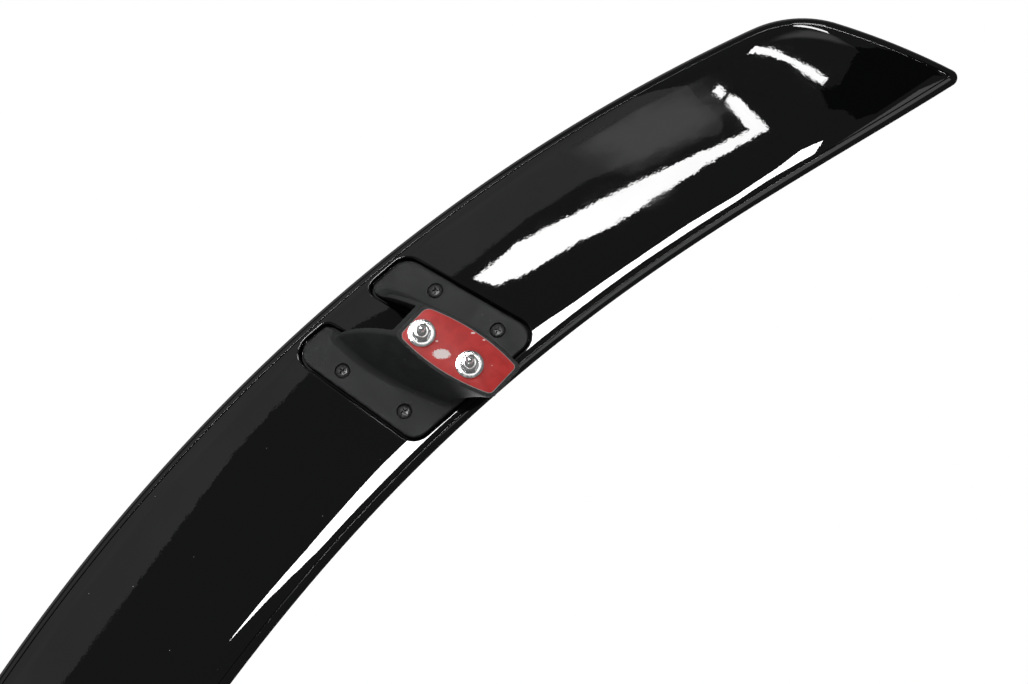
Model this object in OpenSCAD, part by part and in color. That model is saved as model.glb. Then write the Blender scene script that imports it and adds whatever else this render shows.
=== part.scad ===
// Trunk spoiler: a swept wing of two bonded shells on two moulded feet.
// Each foot is screwed into a pocket of the wing, and stands on the deck on a tape pad and two studs.
// +X is the car's right, +Y is forward and +Z is up. The origin is on the centre plane, amid the
// four studs, in the plane where the pads meet the deck.

/* [Wing plan] */
// Distance from the centre plane to the rear corner of each end
half_span = 620; // [600:1:640]
// How far the front point of each end lies outboard of its rear corner
end_lean = 14; // [8:1:18]
// How far the end edge bows outwards
end_bow = 4; // [1:0.5:6]
// Y of the rear edge at the centre plane
rear_apex = -129; // [-134:1:-124]
// How far the rear edge sweeps forward from the centre to the ends, square part
rear_sweep = 160; // [150:1:170]
// Extra sweep of the rear edge near the ends, fourth power part
rear_curl = 25; // [15:1:35]
// Y of the front edge at the centre plane
front_apex = -1; // [-5:1:4]
// How far the front edge sweeps forward, square part
front_sweep = 143; // [138:1:150]
// Extra sweep of the front edge, fourth power part
front_curl = 79; // [74:1:84]
// Easing of the front edge towards the ends, sixth power part
front_ease = 52; // [46:1:56]
// Length of the rounding at the rear corner of each end, along the edges
rear_corner = 28; // [20:1:34]
// Length of the rounding at the front point of each end, along the edges
tip_corner = 9.5; // [9:0.1:11]

/* [Wing section] */
// Nose-down pitch of the wing, in degrees
pitch = 13; // [11:0.5:14.5]
// How far the ends droop below the centre
arch = 11; // [6:1:14]
// Height of the rounded edge
edge_h = 8; // [7:0.5:9]
// Rise of the top above the edge, at the centre
crown = 12; // [11:0.5:13]
// Share of the crown that is gone at the ends
crown_taper = 0.45; // [0:0.05:0.5]
// Where the crown is highest, as a share of the chord from the rear edge
crown_place = 0.55; // [0.45:0.01:0.6]
// Wall of both shells
skin = 3; // [2.5:0.1:3.5]
// Distance from the edge of the wing to the seam between the shells
seam_in = 5.5; // [5:0.1:6]
// Width of the open groove along the seam
seam_gap = 0.4; // [0.2:0.1:0.6]
// Width of the ledge that the lower shell is bonded to
ledge_w = 4; // [3:0.5:5]
// Thickness of the bond between the shells
bond_gap = 0.05; // [0.02:0.01:0.1]

/* [Feet] */
// Distance from the centre plane to the middle of each pad
foot_x = 301; // [285:1:315]
// Height of the wing's underside above the deck, at the middle of the foot
seat_h = 53.4; // [48:0.1:60]
// Depth of the pocket that the foot is sunk in
seat_depth = 4.5; // [4.2:0.1:5]
// Open gap around the flange in its pocket
seat_clear = 1.8; // [1:0.1:2]
// Thickness of the flange
flange_t = 4; // [3.5:0.1:4.2]
// Half width of the flange at its rear end
flange_rear_w = 46.8; // [45:0.1:49]
// Half width of the flange at its front end
flange_front_w = 50.8; // [49:0.1:52]
// Place of the flange's rear edge on its middle line
flange_rear = -80.7; // [-82:0.1:-76]
// Place of the flange's front edge on its middle line
flange_front = 25.2; // [22:0.1:26]
// How far the flange's front end leans inboard of its rear end
flange_toe = 3.4; // [0:0.1:4]
// Slant of the flange's two ends, following the sweep of the wing
flange_slant = 0.277; // [0.26:0.001:0.29]
// Rounding of the four outer corners of the flange
flange_r = 11; // [8:0.5:12]
// Half width of the open notch between the two lobes
notch_w = 17; // [16:0.1:18]
// Distance of the notch's middle inboard of the pad's middle
notch_off = 1.5; // [1:0.1:2]
// Depth of the notch that the pocket follows
notch_len = 56; // [40:1:60]
// Rounding of the two lobes beside the notch
lip_r = 5; // [3:0.5:6]
// Rounding of the notch's two inner corners
notch_corner_r = 8; // [4:0.5:9]
// Wall of the hollow pedestal
wall = 4; // [3:0.1:4.5]
// Place of the pad's rear end
pad_rear = -30; // [-32:0.1:-29]
// Place of the pad's front end
pad_front = 44; // [42:0.1:46]
// Half width of the pad at its ends
pad_w = 13.6; // [13:0.1:15]
// How far the long sides of the pad bow outwards
pad_bow = 4.8; // [4:0.1:6]
// How far the long sides of the pedestal bow outwards at its root
root_bow = 5.5; // [5:0.1:6.5]
// Distance from the flange's rear edge to the root of the pedestal
root_rear_in = 12.7; // [10:0.1:16]
// Distance from the flange's front edge to the root of the pedestal
root_front_in = 4.2; // [3:0.1:6]
// How late the pedestal widens towards its root
flare = 1.3; // [1.1:0.05:1.4]
// How early the pedestal leans back towards its root
lean_back = 1.35; // [1.2:0.05:1.5]
// Slant of the pad's two ends
pad_slant = 0.155; // [0.1:0.005:0.2]
// Thickness of the pad plate
pad_t = 5; // [4:0.1:6]

/* [Tape] */
// Rim left along the sides of the tape
tape_rim = 2.1; // [1.5:0.1:2.5]
// Rim left at the two ends of the tape
tape_end_rim = 2.9; // [2.5:0.1:3.5]
// Rounding of the tape's corners
tape_r = 4; // [3:0.5:5]
// Depth of the recess that the tape sits in
tape_recess = 0.6; // [0.3:0.1:0.9]
// Thickness of the foam tape
tape_t = 1.1; // [1:0.1:1.6]
// Thickness of the red liner
liner_t = 0.2; // [0.1:0.05:0.3]

/* [Fasteners] */
// Distance between the two studs of a foot
stud_pitch = 36; // [34:0.5:38]
// Distance of the studs inboard of the pad's middle
stud_off = 3.5; // [2:0.1:4]
// Diameter of the stud's free thread
stud_d = 6; // [5.8:0.1:6.2]
// Length of the stud below the deck face
stud_len = 14.4; // [13:0.1:16]
// Depth of the thread, in radius, that the nut and the insert grip
thread_grip = 0.2; // [0.15:0.01:0.25]
// Diameter of the washer
washer_d = 18; // [16:0.5:19]
// Thickness of the washer
washer_t = 1.5; // [1.2:0.1:2]
// Width of the nut across its flats
nut_w = 10; // [9.5:0.1:11]
// Height of the nut
nut_h = 5; // [4:0.1:5.5]
// Diameter of the threaded insert
insert_d = 8.6; // [8:0.1:9.5]
// Length of the threaded insert
insert_h = 10; // [8:0.5:12]
// Diameter of the screw head
head_d = 9.8; // [9:0.1:10.2]
// Height of the screw head
head_h = 2.2; // [1.8:0.1:2.6]
// Diameter of the screw's shank
screw_d = 4.8; // [4.2:0.1:5.2]
// Length of the screw under its head
screw_len = 8.2; // [7:0.1:8.6]
// Distance of the screws from the sides of the flange, on average
screw_edge = 10.6; // [10:0.1:11.5]
// Distance of the rear screws from the flange's rear edge
screw_rear_in = 33.2; // [31:0.1:35]
// Distance of the front screws from the flange's front edge
screw_front_in = 21.3; // [20:0.1:23]
// Wall round each screw in the wing
screw_wall = 2.7; // [2:0.1:3]

/* [Hidden] */
$fn = 48;
over = 1;
reach = 250;
tip_x = half_span + end_lean;
spine_end = 35;
spine_x = half_span - spine_end;
stations = 14;
edge_rise = 1.4;
roll = atan(2 * arch * foot_x / pow(half_span, 2));
stud_x = foot_x - stud_off;
stud_r = stud_d / 2;
grip_r = stud_r - thread_grip;
pad_z = liner_t + tape_t - tape_recess;
recess_z = liner_t + tape_t;
hole_gap = 0.2;
washer_hole = stud_r + hole_gap;
tape_hole = stud_r + 2 * hole_gap;
boss_wall = 2.4;
boss_r = insert_d / 2 + boss_wall;
boss_top = recess_z + insert_h + 2;
root_h = seat_depth - flange_t / 2;
root_rear = flange_rear + root_rear_in;
root_front = flange_front - root_front_in;
screw_half = (flange_rear_w + flange_front_w) / 2 - screw_edge;
screw_rear = flange_rear + screw_rear_in;
screw_front = flange_front - screw_front_in;
head_gap = 0.4;
shank_gap = 0.3;
bore_d = head_d + 2 * head_gap;
bore_depth = 1.8;
pocket_gap = 0.4;
pocket_wall = 2;
pocket_floor = 2.2;
screw_boss_h = 4;
black = "#161617";
satin = "#2b2b2d";
zinc = "#c9cbd0";

SIDES = [["left", -1], ["right", 1]];
ENDS = [["rear", -1], ["front", 1]];
PLACES = [["inner", -1], ["outer", 1]];

// Rounded edge of the wing, from the underside to the top, as shares of seam_in and edge_h
EDGE = [[0.47, 0.03], [0.13, 0.22], [0, 0.5], [0.13, 0.8], [0.47, 1.025]];
// Rings of the top, as shares of the way from the seam to the spine
CROWN = [0, 0.22, 0.5];
// Levels of the pedestal, as shares of its height
LEVELS = [0, 0.12, 0.25, 0.4, 0.55, 0.7, 0.85, 1];

// General helpers
function mix(a, b, t) = a + (b - a) * t;
function unit(v) = v / norm(v);
function left_of(v) = [-v.y, v.x];
function flat(lists) = [for (l = lists, v = l) v];

// Round arc at corner c, tangent to the lines towards a and b at the distance t, in n steps
function fillet(c, a, b, t, n) =
    let (
        ua = unit(a - c),
        ub = unit(b - c),
        half = acos(ua * ub) / 2,
        o = c + unit(ua + ub) * t / cos(half),
        turn = 180 - 2 * half,
        va = c + ua * t - o,
        vb = c + ub * t - o
    )
    [for (i = [0:n]) o + (sin(turn * (1 - i / n)) * va + sin(turn * i / n) * vb) / sin(turn)];

// Loop of corners [x, y, radius], moved outwards by off and rounded. Hollow corners get a smaller radius.
function rounded_loop(c, off) =
    let (
        n = len(c),
        p = [for (v = c) [v.x, v.y]],
        moved = [for (i = [0:n - 1])
            let (
                m1 = left_of(unit(p[i] - p[(i + n - 1) % n])),
                m2 = left_of(unit(p[(i + 1) % n] - p[i]))
            )
            p[i] - (m1 + m2) / (1 + m1 * m2) * off],
        arcs = [for (i = [0:n - 1])
            let (
                a = moved[(i + n - 1) % n],
                b = moved[(i + 1) % n],
                half = acos(unit(a - moved[i]) * unit(b - moved[i])) / 2,
                swell = cross(moved[i] - a, b - moved[i]) > 0 ? off : -off
            )
            fillet(moved[i], a, b, (c[i][2] + swell) / tan(half), 5)]
    )
    flat(arcs);

// Plan of the wing
function span_t(x) = pow(x / half_span, 2);
function rear_y(x) = rear_apex + rear_sweep * span_t(x) + rear_curl * pow(span_t(x), 2);
function front_y(x) = front_apex + front_sweep * span_t(x) + front_curl * pow(span_t(x), 2)
    - front_ease * pow(span_t(x), 3);
function rear_point(x) = [x, rear_y(x)];
function front_point(x) = [x, front_y(x)];
function end_edge(s) = [mix(half_span, tip_x, s) + 4 * end_bow * s * (1 - s),
                        mix(rear_y(half_span), front_y(tip_x), s)];

// Right end of the outline, from the last rear station round to the last front station
end_len = norm(end_edge(1) - end_edge(0));
rear_s = rear_corner / end_len;
tip_s = 1 - tip_corner / end_len;
cap = concat(
    fillet(end_edge(0), rear_point(half_span - rear_corner), end_edge(rear_s), rear_corner, 6),
    [for (i = [1:3]) end_edge(mix(rear_s, tip_s, i / 4))],
    fillet(end_edge(1), end_edge(tip_s), front_point(tip_x - tip_corner), tip_corner, 5),
    [front_point((spine_x + tip_x) / 2)]
);

// Whole outline, anticlockwise from the middle of the rear edge, and the spine station of each point
half_rear = [for (i = [0:stations]) rear_point(spine_x * i / stations)];
half_front = [for (i = [stations:-1:0]) front_point(spine_x * i / stations)];
half_line = concat(half_rear, cap, half_front);
half_spine = concat([for (i = [0:stations]) i], [for (v = cap) stations], [for (i = [stations:-1:0]) i]);
half_n = len(half_line);
outline = concat(half_line, [for (i = [half_n - 2:-1:1]) [-half_line[i].x, half_line[i].y]]);
spine_of = concat(
    [for (i = half_spine) i + stations],
    [for (i = [half_n - 2:-1:1]) stations - half_spine[i]]
);
loop_n = len(outline);
spine = [for (i = [-stations:stations])
    let (x = spine_x * i / stations) [x, mix(rear_y(x), front_y(x), crown_place)]];

// Heights of the wing's surfaces
function under_z(p) = seat_h - tan(pitch) * p.y - arch * (span_t(p.x) - span_t(foot_x));
function crown_h(p, t) = edge_h + edge_rise + crown * (1 - crown_taper * span_t(p.x)) * (1 - pow(1 - t, 2));
function lift(p, h) = [p.x, p.y, under_z(p) + h];

// Points of the outline moved inwards by d, squarely up to the seam and then towards the spine
function inset_line(d) = [for (i = [0:loop_n - 1])
    let (
        p = outline[i],
        m1 = left_of(unit(p - outline[(i + loop_n - 1) % loop_n])),
        m2 = left_of(unit(outline[(i + 1) % loop_n] - p)),
        q = p + (m1 + m2) / (1 + m1 * m2) * min(d, seam_in + seam_gap),
        s = spine[spine_of[i]]
    )
    q + unit(s - q) * max(0, d - seam_in - seam_gap)];
seam_line = inset_line(seam_in);
function toward_spine(t) = [for (i = [0:loop_n - 1]) mix(seam_line[i], spine[spine_of[i]], t)];
function share_in(p, i) = norm(p - seam_line[i]) / norm(spine[spine_of[i]] - seam_line[i]);
function ring(d, h) = [for (p = inset_line(d)) lift(p, h)];
function crown_ring(t, drop) = [for (p = toward_spine(t)) lift(p, crown_h(p, t) - drop)];

// Closed shell of rings between two spines, the first ring list going outwards over the top
function band_faces(a, b) = flat([for (i = [0:loop_n - 1])
    let (j = (i + 1) % loop_n)
    [[a + i, b + i, b + j], [a + i, b + j, a + j]]]);
function spine_faces(a, s) = flat([for (i = [0:loop_n - 1])
    let (j = (i + 1) % loop_n, si = s + spine_of[i], sj = s + spine_of[j])
    si == sj ? [[a + i, si, a + j]] : [[a + i, si, sj], [a + i, sj, a + j]]]);
function flipped(faces) = [for (f = faces) [f[2], f[1], f[0]]];
module shell(rings, top_spine, bottom_spine) {
    n = len(rings);
    top = n * loop_n;
    bottom = top + len(top_spine);
    polyhedron(
        points = concat(flat(rings), top_spine, bottom_spine),
        faces = concat(
            flat([for (k = [0:n - 2]) band_faces(k * loop_n, (k + 1) * loop_n)]),
            spine_faces((n - 1) * loop_n, top),
            flipped(spine_faces(0, bottom))
        ),
        convexity = 6
    );
}

// Frame of a foot's seat: z is square to the wing's underside and points into the wing
module seat() {
    translate([foot_x, 0, seat_h]) rotate([-pitch, roll, 0]) children();
}
function seat_z(p) = seat_h - tan(pitch) / cos(roll) * p.y - tan(roll) * (p.x - foot_x);

// Outline of the flange and its pocket, with the notch between the lobes
function lean(q) = flange_toe * (flange_rear - q) / (flange_front - flange_rear);
function end_line(q0, p) = q0 + flange_slant * p;
front_mid = lean(flange_front);
notch_l = -notch_off - notch_w;
notch_r = -notch_off + notch_w;
notch_end = flange_rear + notch_len;
seat_corners = [
    [-flange_rear_w, end_line(flange_rear, -flange_rear_w), flange_r],
    [notch_l, end_line(flange_rear, notch_l), lip_r],
    [notch_l, notch_end, notch_corner_r],
    [notch_r, notch_end, notch_corner_r],
    [notch_r, end_line(flange_rear, notch_r), lip_r],
    [flange_rear_w, end_line(flange_rear, flange_rear_w), flange_r],
    [front_mid + flange_front_w, end_line(flange_front, front_mid + flange_front_w), flange_r],
    [front_mid - flange_front_w, end_line(flange_front, front_mid - flange_front_w), flange_r]
];
module seat_shape(off) {
    polygon(rounded_loop(seat_corners, off));
}
screw_places = [for (q = [[-1, screw_rear], [1, screw_front]], c = [-1, 1])
    let (p = c * screw_half + lean(q[1])) [p, end_line(q[1], p), q[0], c]];
module at_screw(q, c) {
    for (s = screw_places) if (s[2] == q && s[3] == c) seat() translate([s.x, s.y, 0]) children();
}
module at_screws() {
    for (s = screw_places) seat() translate([s.x, s.y, 0]) children();
}
module at_studs() {
    for (q = [-1, 1]) translate([stud_x, q * stud_pitch / 2, 0]) children();
}

// Section of the pedestal at the share t of its height: bowed sides, slanted ends, rounded corners.
// cut moves the wall inwards, and tail runs the rear end on past the foot.
function side(t, c, u, cut) =
    let (
        tx = pow(t, flare),
        ty = 1 - pow(max(0, 1 - t), lean_back),
        mid = mix(0, -notch_off, tx),
        w = mix(pad_w, notch_w + wall, tx) + mix(pad_bow, root_bow, tx) * 4 * max(0, u) * (1 - u) - cut,
        y0 = mix(pad_rear, root_rear, ty),
        y1 = mix(pad_front, root_front, ty) - cut,
        x = mid + c * w
    )
    [foot_x + x, mix(y0, y1, u) + mix(pad_slant, flange_slant, ty) * x];
function section(t, cut, u0, r) =
    let (
        us = [for (i = [1:7]) mix(u0, 1, i / 8)],
        corner = [for (c = [-1, 1], u = [u0, 1]) side(t, c, u, cut)],
        lr = corner[0], lf = corner[1], rr = corner[2], rf = corner[3]
    )
    concat(
        fillet(rr, lr, side(t, 1, us[0], cut), r, 3),
        [for (u = us) side(t, 1, u, cut)],
        fillet(rf, side(t, 1, us[6], cut), lf, r + 2, 3),
        fillet(lf, rf, side(t, -1, us[6], cut), r + 2, 3),
        [for (i = [6:-1:0]) side(t, -1, us[i], cut)],
        fillet(lr, side(t, -1, us[0], cut), rr, r, 3)
    );
module loft(levels, cut, u0, r) {
    lines = [for (t = levels) section(t, cut, u0, r)];
    n = len(lines[0]);
    m = len(levels);
    polyhedron(
        points = flat([for (k = [0:m - 1])
            [for (p = lines[k]) [p.x, p.y, mix(pad_z, seat_z(p) + root_h, levels[k])]]]),
        faces = concat(
            [[for (i = [0:n - 1]) i]],
            [[for (i = [n - 1:-1:0]) (m - 1) * n + i]],
            flat(flat([for (k = [0:m - 2]) [for (i = [0:n - 1])
                let (j = (i + 1) % n, a = k * n, b = a + n)
                [[a + i, b + i, b + j], [a + i, b + j, a + j]]]]))
        ),
        convexity = 4
    );
}

// Plan of the tape, inside the rim of the pad
module tape_shape() {
    pad_len = pad_front - pad_rear - tape_rim;
    u0 = tape_end_rim / pad_len;
    u1 = 1 - (tape_end_rim - tape_rim) / pad_len;
    lr = side(0, -1, u0, tape_rim);
    rr = side(0, 1, u0, tape_rim);
    lf = side(0, -1, u1, tape_rim);
    rf = side(0, 1, u1, tape_rim);
    us = [for (i = [1:7]) mix(u0, u1, i / 8)];
    polygon(concat(
        fillet(rr, lr, side(0, 1, us[0], tape_rim), tape_r, 4),
        [for (u = us) side(0, 1, u, tape_rim)],
        fillet(rf, side(0, 1, us[6], tape_rim), lf, tape_r, 4),
        fillet(lf, rf, side(0, -1, us[6], tape_rim), tape_r, 4),
        [for (i = [6:-1:0]) side(0, -1, us[i], tape_rim)],
        fillet(lr, side(0, -1, us[0], tape_rim), rr, tape_r, 4)
    ));
}

module wing_upper_shell() color(black) {
    ledge_line = inset_line(seam_in + seam_gap + ledge_w);
    ledge_top = [for (i = [0:loop_n - 1])
        let (p = ledge_line[i]) lift(p, crown_h(p, share_in(p, i)) - skin)];
    difference() {
        shell(
            concat(
                [
                    crown_ring(CROWN[2], skin),
                    crown_ring(CROWN[1], skin),
                    ledge_top,
                    [for (p = ledge_line) lift(p, skin)],
                    ring(seam_in, skin),
                    ring(seam_in, 0)
                ],
                [for (e = EDGE) ring(e[0] * seam_in, e[1] * edge_h)],
                [for (t = CROWN) crown_ring(t, 0)]
            ),
            [for (p = spine) lift(p, crown_h(p, 1))],
            [for (p = spine) lift(p, crown_h(p, 1) - skin)]
        );
        for (s = [0, 1]) mirror([s, 0, 0]) seat()
            linear_extrude(seat_depth + pocket_floor + pocket_gap)
                seat_shape(seat_clear + pocket_wall + pocket_gap);
    }
}

module pocket_body() {
    seat() translate([0, 0, over]) linear_extrude(seat_depth + pocket_floor - over)
        seat_shape(seat_clear + pocket_wall);
    at_screws() translate([0, 0, seat_depth])
        cylinder(d = screw_d + 2 * screw_wall, h = pocket_floor + screw_boss_h);
}

module pocket_cut() {
    seat() translate([0, 0, -over]) linear_extrude(seat_depth + over) seat_shape(seat_clear);
    at_screws() cylinder(d = screw_d, h = seat_depth + pocket_floor + screw_boss_h + over);
}

module wing_lower_shell() color(black) difference() {
    union() {
        shell(
            [ring(seam_in + seam_gap, 0), ring(seam_in + seam_gap, skin - bond_gap)],
            [for (p = spine) lift(p, skin - bond_gap)],
            [for (p = spine) lift(p, 0)]
        );
        for (s = [0, 1]) mirror([s, 0, 0]) pocket_body();
    }
    for (s = [0, 1]) mirror([s, 0, 0]) pocket_cut();
}

module foot() color(satin) difference() {
    union() {
        difference() {
            union() {
                loft(LEVELS, 0, 0, 2);
                seat() translate([0, 0, seat_depth - flange_t]) linear_extrude(flange_t) seat_shape(0);
            }
            intersection() {
                loft(concat(LEVELS, 1.15), wall, -0.4, 2);
                translate([foot_x - reach / 2, -reach / 2, pad_z + pad_t]) cube(reach);
            }
        }
        at_studs() translate([0, 0, pad_z + over]) cylinder(r = boss_r, h = boss_top - pad_z - over);
    }
    translate([0, 0, pad_z - over]) linear_extrude(tape_recess + over) tape_shape();
    at_studs() translate([0, 0, recess_z - over]) cylinder(d = insert_d, h = insert_h + over);
    at_screws() translate([0, 0, seat_depth - flange_t]) {
        translate([0, 0, -over]) cylinder(d = bore_d, h = bore_depth + over);
        cylinder(d = screw_d + 2 * shank_gap, h = flange_t + over);
    }
}

module foam_tape() color("#3c3c3e") difference() {
    translate([0, 0, liner_t]) linear_extrude(tape_t) tape_shape();
    at_studs() translate([0, 0, -over]) cylinder(r = tape_hole, h = recess_z + 2 * over);
}

module tape_liner() color("#b8312f") difference() {
    linear_extrude(liner_t) tape_shape();
    at_studs() translate([0, 0, -over]) cylinder(r = tape_hole, h = recess_z + 2 * over);
}

module insert() color("#b89a55") difference() {
    translate([0, 0, recess_z]) cylinder(d = insert_d, h = insert_h);
    translate([0, 0, recess_z - over]) cylinder(r = grip_r, h = insert_h + 2 * over);
}

// The thread is drawn at its crest where it is free, and at its middle depth where it is gripped
module stud() color(zinc) {
    free_z = -washer_t - nut_h - thread_grip;
    top_z = recess_z + insert_h - 1;
    dome = 1.2;
    rotate_extrude() polygon(concat(
        [[stud_r, free_z], [stud_r, dome - stud_len]],
        [for (i = [1:5]) [stud_r - dome + dome * cos(i * 18), dome - stud_len - dome * sin(i * 18)]],
        [[0, -stud_len], [0, top_z], [grip_r, top_z], [grip_r, recess_z], [stud_r, recess_z]],
        [[stud_r, -washer_t], [grip_r, -washer_t], [grip_r, free_z]]
    ));
}

module washer() color(zinc) difference() {
    translate([0, 0, -washer_t]) cylinder(d = washer_d, h = washer_t);
    translate([0, 0, -washer_t - over]) cylinder(r = washer_hole, h = washer_t + 2 * over);
}

module nut() color(zinc) {
    chamfer = 0.7;
    corner_r = nut_w / 2 / cos(30);
    clear_r = corner_r + 0.2;
    translate([0, 0, -washer_t - nut_h]) difference() {
        intersection() {
            cylinder(r = corner_r, h = nut_h, $fn = 6);
            rotate_extrude() polygon([
                [0, 0], [nut_w / 2, 0], [clear_r, chamfer],
                [clear_r, nut_h - chamfer], [nut_w / 2, nut_h], [0, nut_h]
            ]);
        }
        translate([0, 0, -over]) cylinder(r = grip_r, h = nut_h + 2 * over);
    }
}

module foot_screw() color("#1c1c1e") translate([0, 0, seat_depth - flange_t + bore_depth]) {
    head_r = head_d / 2;
    rim_h = head_h / 4;
    rotate_extrude() polygon(concat(
        [[0, 0], [head_r, 0]],
        [for (i = [1:6]) [head_r * cos(i * 12), -rim_h - (head_h - rim_h) * sin(i * 15)]],
        [[0, -head_h]]
    ));
    cylinder(d = screw_d, h = screw_len);
}

// Puts what is made for the right foot on the given side of the car
module on_side(s) {
    mirror([s < 0 ? 1 : 0, 0, 0]) children();
}

wing_upper_shell();
wing_lower_shell();
for (s = SIDES) {
    on_side(s[1]) foot();
    on_side(s[1]) foam_tape();
    on_side(s[1]) tape_liner();
    for (q = ENDS) {
        tag = str(s[0], "_", q[0]);
        at = [stud_x, q[1] * stud_pitch / 2, 0];
        on_side(s[1]) translate(at) insert();
        on_side(s[1]) translate(at) stud();
        on_side(s[1]) translate(at) washer();
        on_side(s[1]) translate(at) nut();
        for (c = PLACES) {
            on_side(s[1]) at_screw(q[1], c[1]) foot_screw();
        }
    }
}
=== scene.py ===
"""Looks of the trunk spoiler: painted shells, moulded feet, tape, studs, nuts, washers and screws.

Sizes are in millimetres, as in the CAD source, and each mesh is scaled to metres when it is done.
+X is the car's right, +Y is forward, +Z is up, and the origin is amid the four deck studs.
"""
from math import acos, atan, cos, pi, radians, sin, tan

import bmesh
import bpy
from mathutils import Euler, Matrix, Vector
from mathutils.geometry import interpolate_bezier


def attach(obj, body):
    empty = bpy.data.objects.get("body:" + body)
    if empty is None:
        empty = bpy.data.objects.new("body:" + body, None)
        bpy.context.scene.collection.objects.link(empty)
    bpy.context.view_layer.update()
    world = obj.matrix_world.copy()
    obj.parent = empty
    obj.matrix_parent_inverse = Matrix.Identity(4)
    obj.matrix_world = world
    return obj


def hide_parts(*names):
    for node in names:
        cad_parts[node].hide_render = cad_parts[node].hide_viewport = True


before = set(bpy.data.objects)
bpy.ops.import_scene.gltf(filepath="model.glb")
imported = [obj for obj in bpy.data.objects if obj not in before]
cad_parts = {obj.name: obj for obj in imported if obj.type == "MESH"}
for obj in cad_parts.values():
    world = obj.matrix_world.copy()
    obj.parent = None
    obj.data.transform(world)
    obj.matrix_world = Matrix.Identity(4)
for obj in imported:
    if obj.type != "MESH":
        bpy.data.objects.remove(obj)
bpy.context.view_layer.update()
MM = 0.001

# Wing plan
HALF_SPAN = 620
END_LEAN = 14
END_BOW = 4
REAR_APEX = -129
REAR_SWEEP = 160
REAR_CURL = 25
FRONT_APEX = -1
FRONT_SWEEP = 143
FRONT_CURL = 79
FRONT_EASE = 52
REAR_CORNER = 28
TIP_CORNER = 9.5
SPINE_X = HALF_SPAN - 35
TIP_X = HALF_SPAN + END_LEAN

# Wing section
PITCH = radians(13)
ARCH = 11
EDGE_H = 8
EDGE_RISE = 1.4
CROWN = 11.7  # a little under the CAD, as the smooth top rises between its facets
CROWN_TAPER = 0.45
CROWN_PLACE = 0.55
SKIN = 3
SEAM_IN = 5.5
SEAM_GAP = 0.4
BOND_GAP = 0.05

# Feet
FOOT_X = 301
SEAT_H = 53.4
SEAT_DEPTH = 4.5
SEAT_CLEAR = 1.8
FLANGE_T = 4
FLANGE_REAR_W = 46.8
FLANGE_FRONT_W = 50.8
FLANGE_REAR = -80.7
FLANGE_FRONT = 25.2
FLANGE_TOE = 3.4
FLANGE_SLANT = 0.277
FLANGE_R = 11
NOTCH_W = 17
NOTCH_OFF = 1.5
NOTCH_END = FLANGE_REAR + 56
LIP_R = 5
NOTCH_CORNER_R = 8
SEAT_ROLL = atan(2 * ARCH * FOOT_X / HALF_SPAN ** 2)
WALL = 4
PAD_REAR = -30
PAD_FRONT = 44
PAD_W = 13.6
PAD_BOW = 4.8
PAD_SLANT = 0.155
PAD_T = 5
ROOT_REAR = FLANGE_REAR + 12.7
ROOT_FRONT = FLANGE_FRONT - 4.2
ROOT_BOW = 5.5
FLARE = 1.3
LEAN_BACK = 1.35
ROOT_H = SEAT_DEPTH - FLANGE_T / 2
POCKET_WALL = 2
POCKET_FLOOR = 2.2

# Tape and fasteners
TAPE_RIM = 2.1
TAPE_END_RIM = 2.9
TAPE_R = 4
TAPE_T = 1.1
TAPE_RECESS = 0.6
LINER_T = 0.2
PAD_Z = LINER_T + TAPE_T - TAPE_RECESS
RECESS_Z = LINER_T + TAPE_T
STUD_X = FOOT_X - 3.5
STUD_PITCH = 36
STUD_R = 3
STUD_LEN = 14.4
WASHER_R = 9
WASHER_T = 1.5
WASHER_HOLE = 3.2
NUT_W = 10
NUT_H = 5
INSERT_R = 4.3
INSERT_H = 10
BOSS_R = INSERT_R + 2.4
THREAD_PITCH = 1
HEAD_R = 4.9
HEAD_H = 2.2
SHANK_R = 2.4
SCREW_LEN = 8.2
SCREW_PITCH = 1.6
SCREW_HALF = (FLANGE_REAR_W + FLANGE_FRONT_W) / 2 - 10.6
SCREW_REAR = FLANGE_REAR + 33.2
SCREW_FRONT = FLANGE_FRONT - 21.3
BORE_R = HEAD_R + 0.4
BORE_DEPTH = 1.8

# Roll of the underside towards its edges, and the small roundings that the CAD leaves out
FRONT_ROLL = 1.6
FRONT_ROLL_W = 22
REAR_ROLL = 0.3
REAR_ROLL_W = 10
RIM_R = 1.4
ROOT_R = 3
FOOT_VOXEL = 0.75
BORDER = SEAM_IN + SEAM_GAP + 0.2

# Fineness of the curved meshes
STATIONS = 140
CAP_POINTS = 31
RIM_STEPS = 5


def mix(a, b, t):
    return a + (b - a) * t


def half_angle(corner, a, b):
    return acos(max(-1, min(1, (a - corner).normalized().dot((b - corner).normalized())))) / 2


def fillet(corner, a, b, reach, steps):
    """Round arc at a corner, tangent to the lines towards a and b at the distance reach."""
    ua = (a - corner).normalized()
    ub = (b - corner).normalized()
    half = half_angle(corner, a, b)
    middle = corner + (ua + ub).normalized() * reach / cos(half)
    turn = pi - 2 * half
    va = corner + ua * reach - middle
    vb = corner + ub * reach - middle
    return [
        middle + (sin(turn * (1 - i / steps)) * va + sin(turn * i / steps) * vb) / sin(turn)
        for i in range(steps + 1)
    ]


def left_of(v):
    return Vector((-v.y, v.x))


def moved_in(points, d, closed):
    """A line of plan points moved to its left by d, with mitred corners."""
    out = []
    last = len(points) - 1
    for i, p in enumerate(points):
        before = points[i - 1] if (i > 0 or closed) else None
        after = points[(i + 1) % len(points)] if (i < last or closed) else None
        m1 = left_of((p - before).normalized()) if before is not None else None
        m2 = left_of((after - p).normalized()) if after is not None else None
        m1 = m1 or m2
        m2 = m2 or m1
        out.append(p + (m1 + m2) / (1 + m1.dot(m2)) * d)
    return out


def span_t(x):
    return (x / HALF_SPAN) ** 2


def rear_point(x):
    t = span_t(x)
    return Vector((x, REAR_APEX + REAR_SWEEP * t + REAR_CURL * t ** 2))


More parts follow.
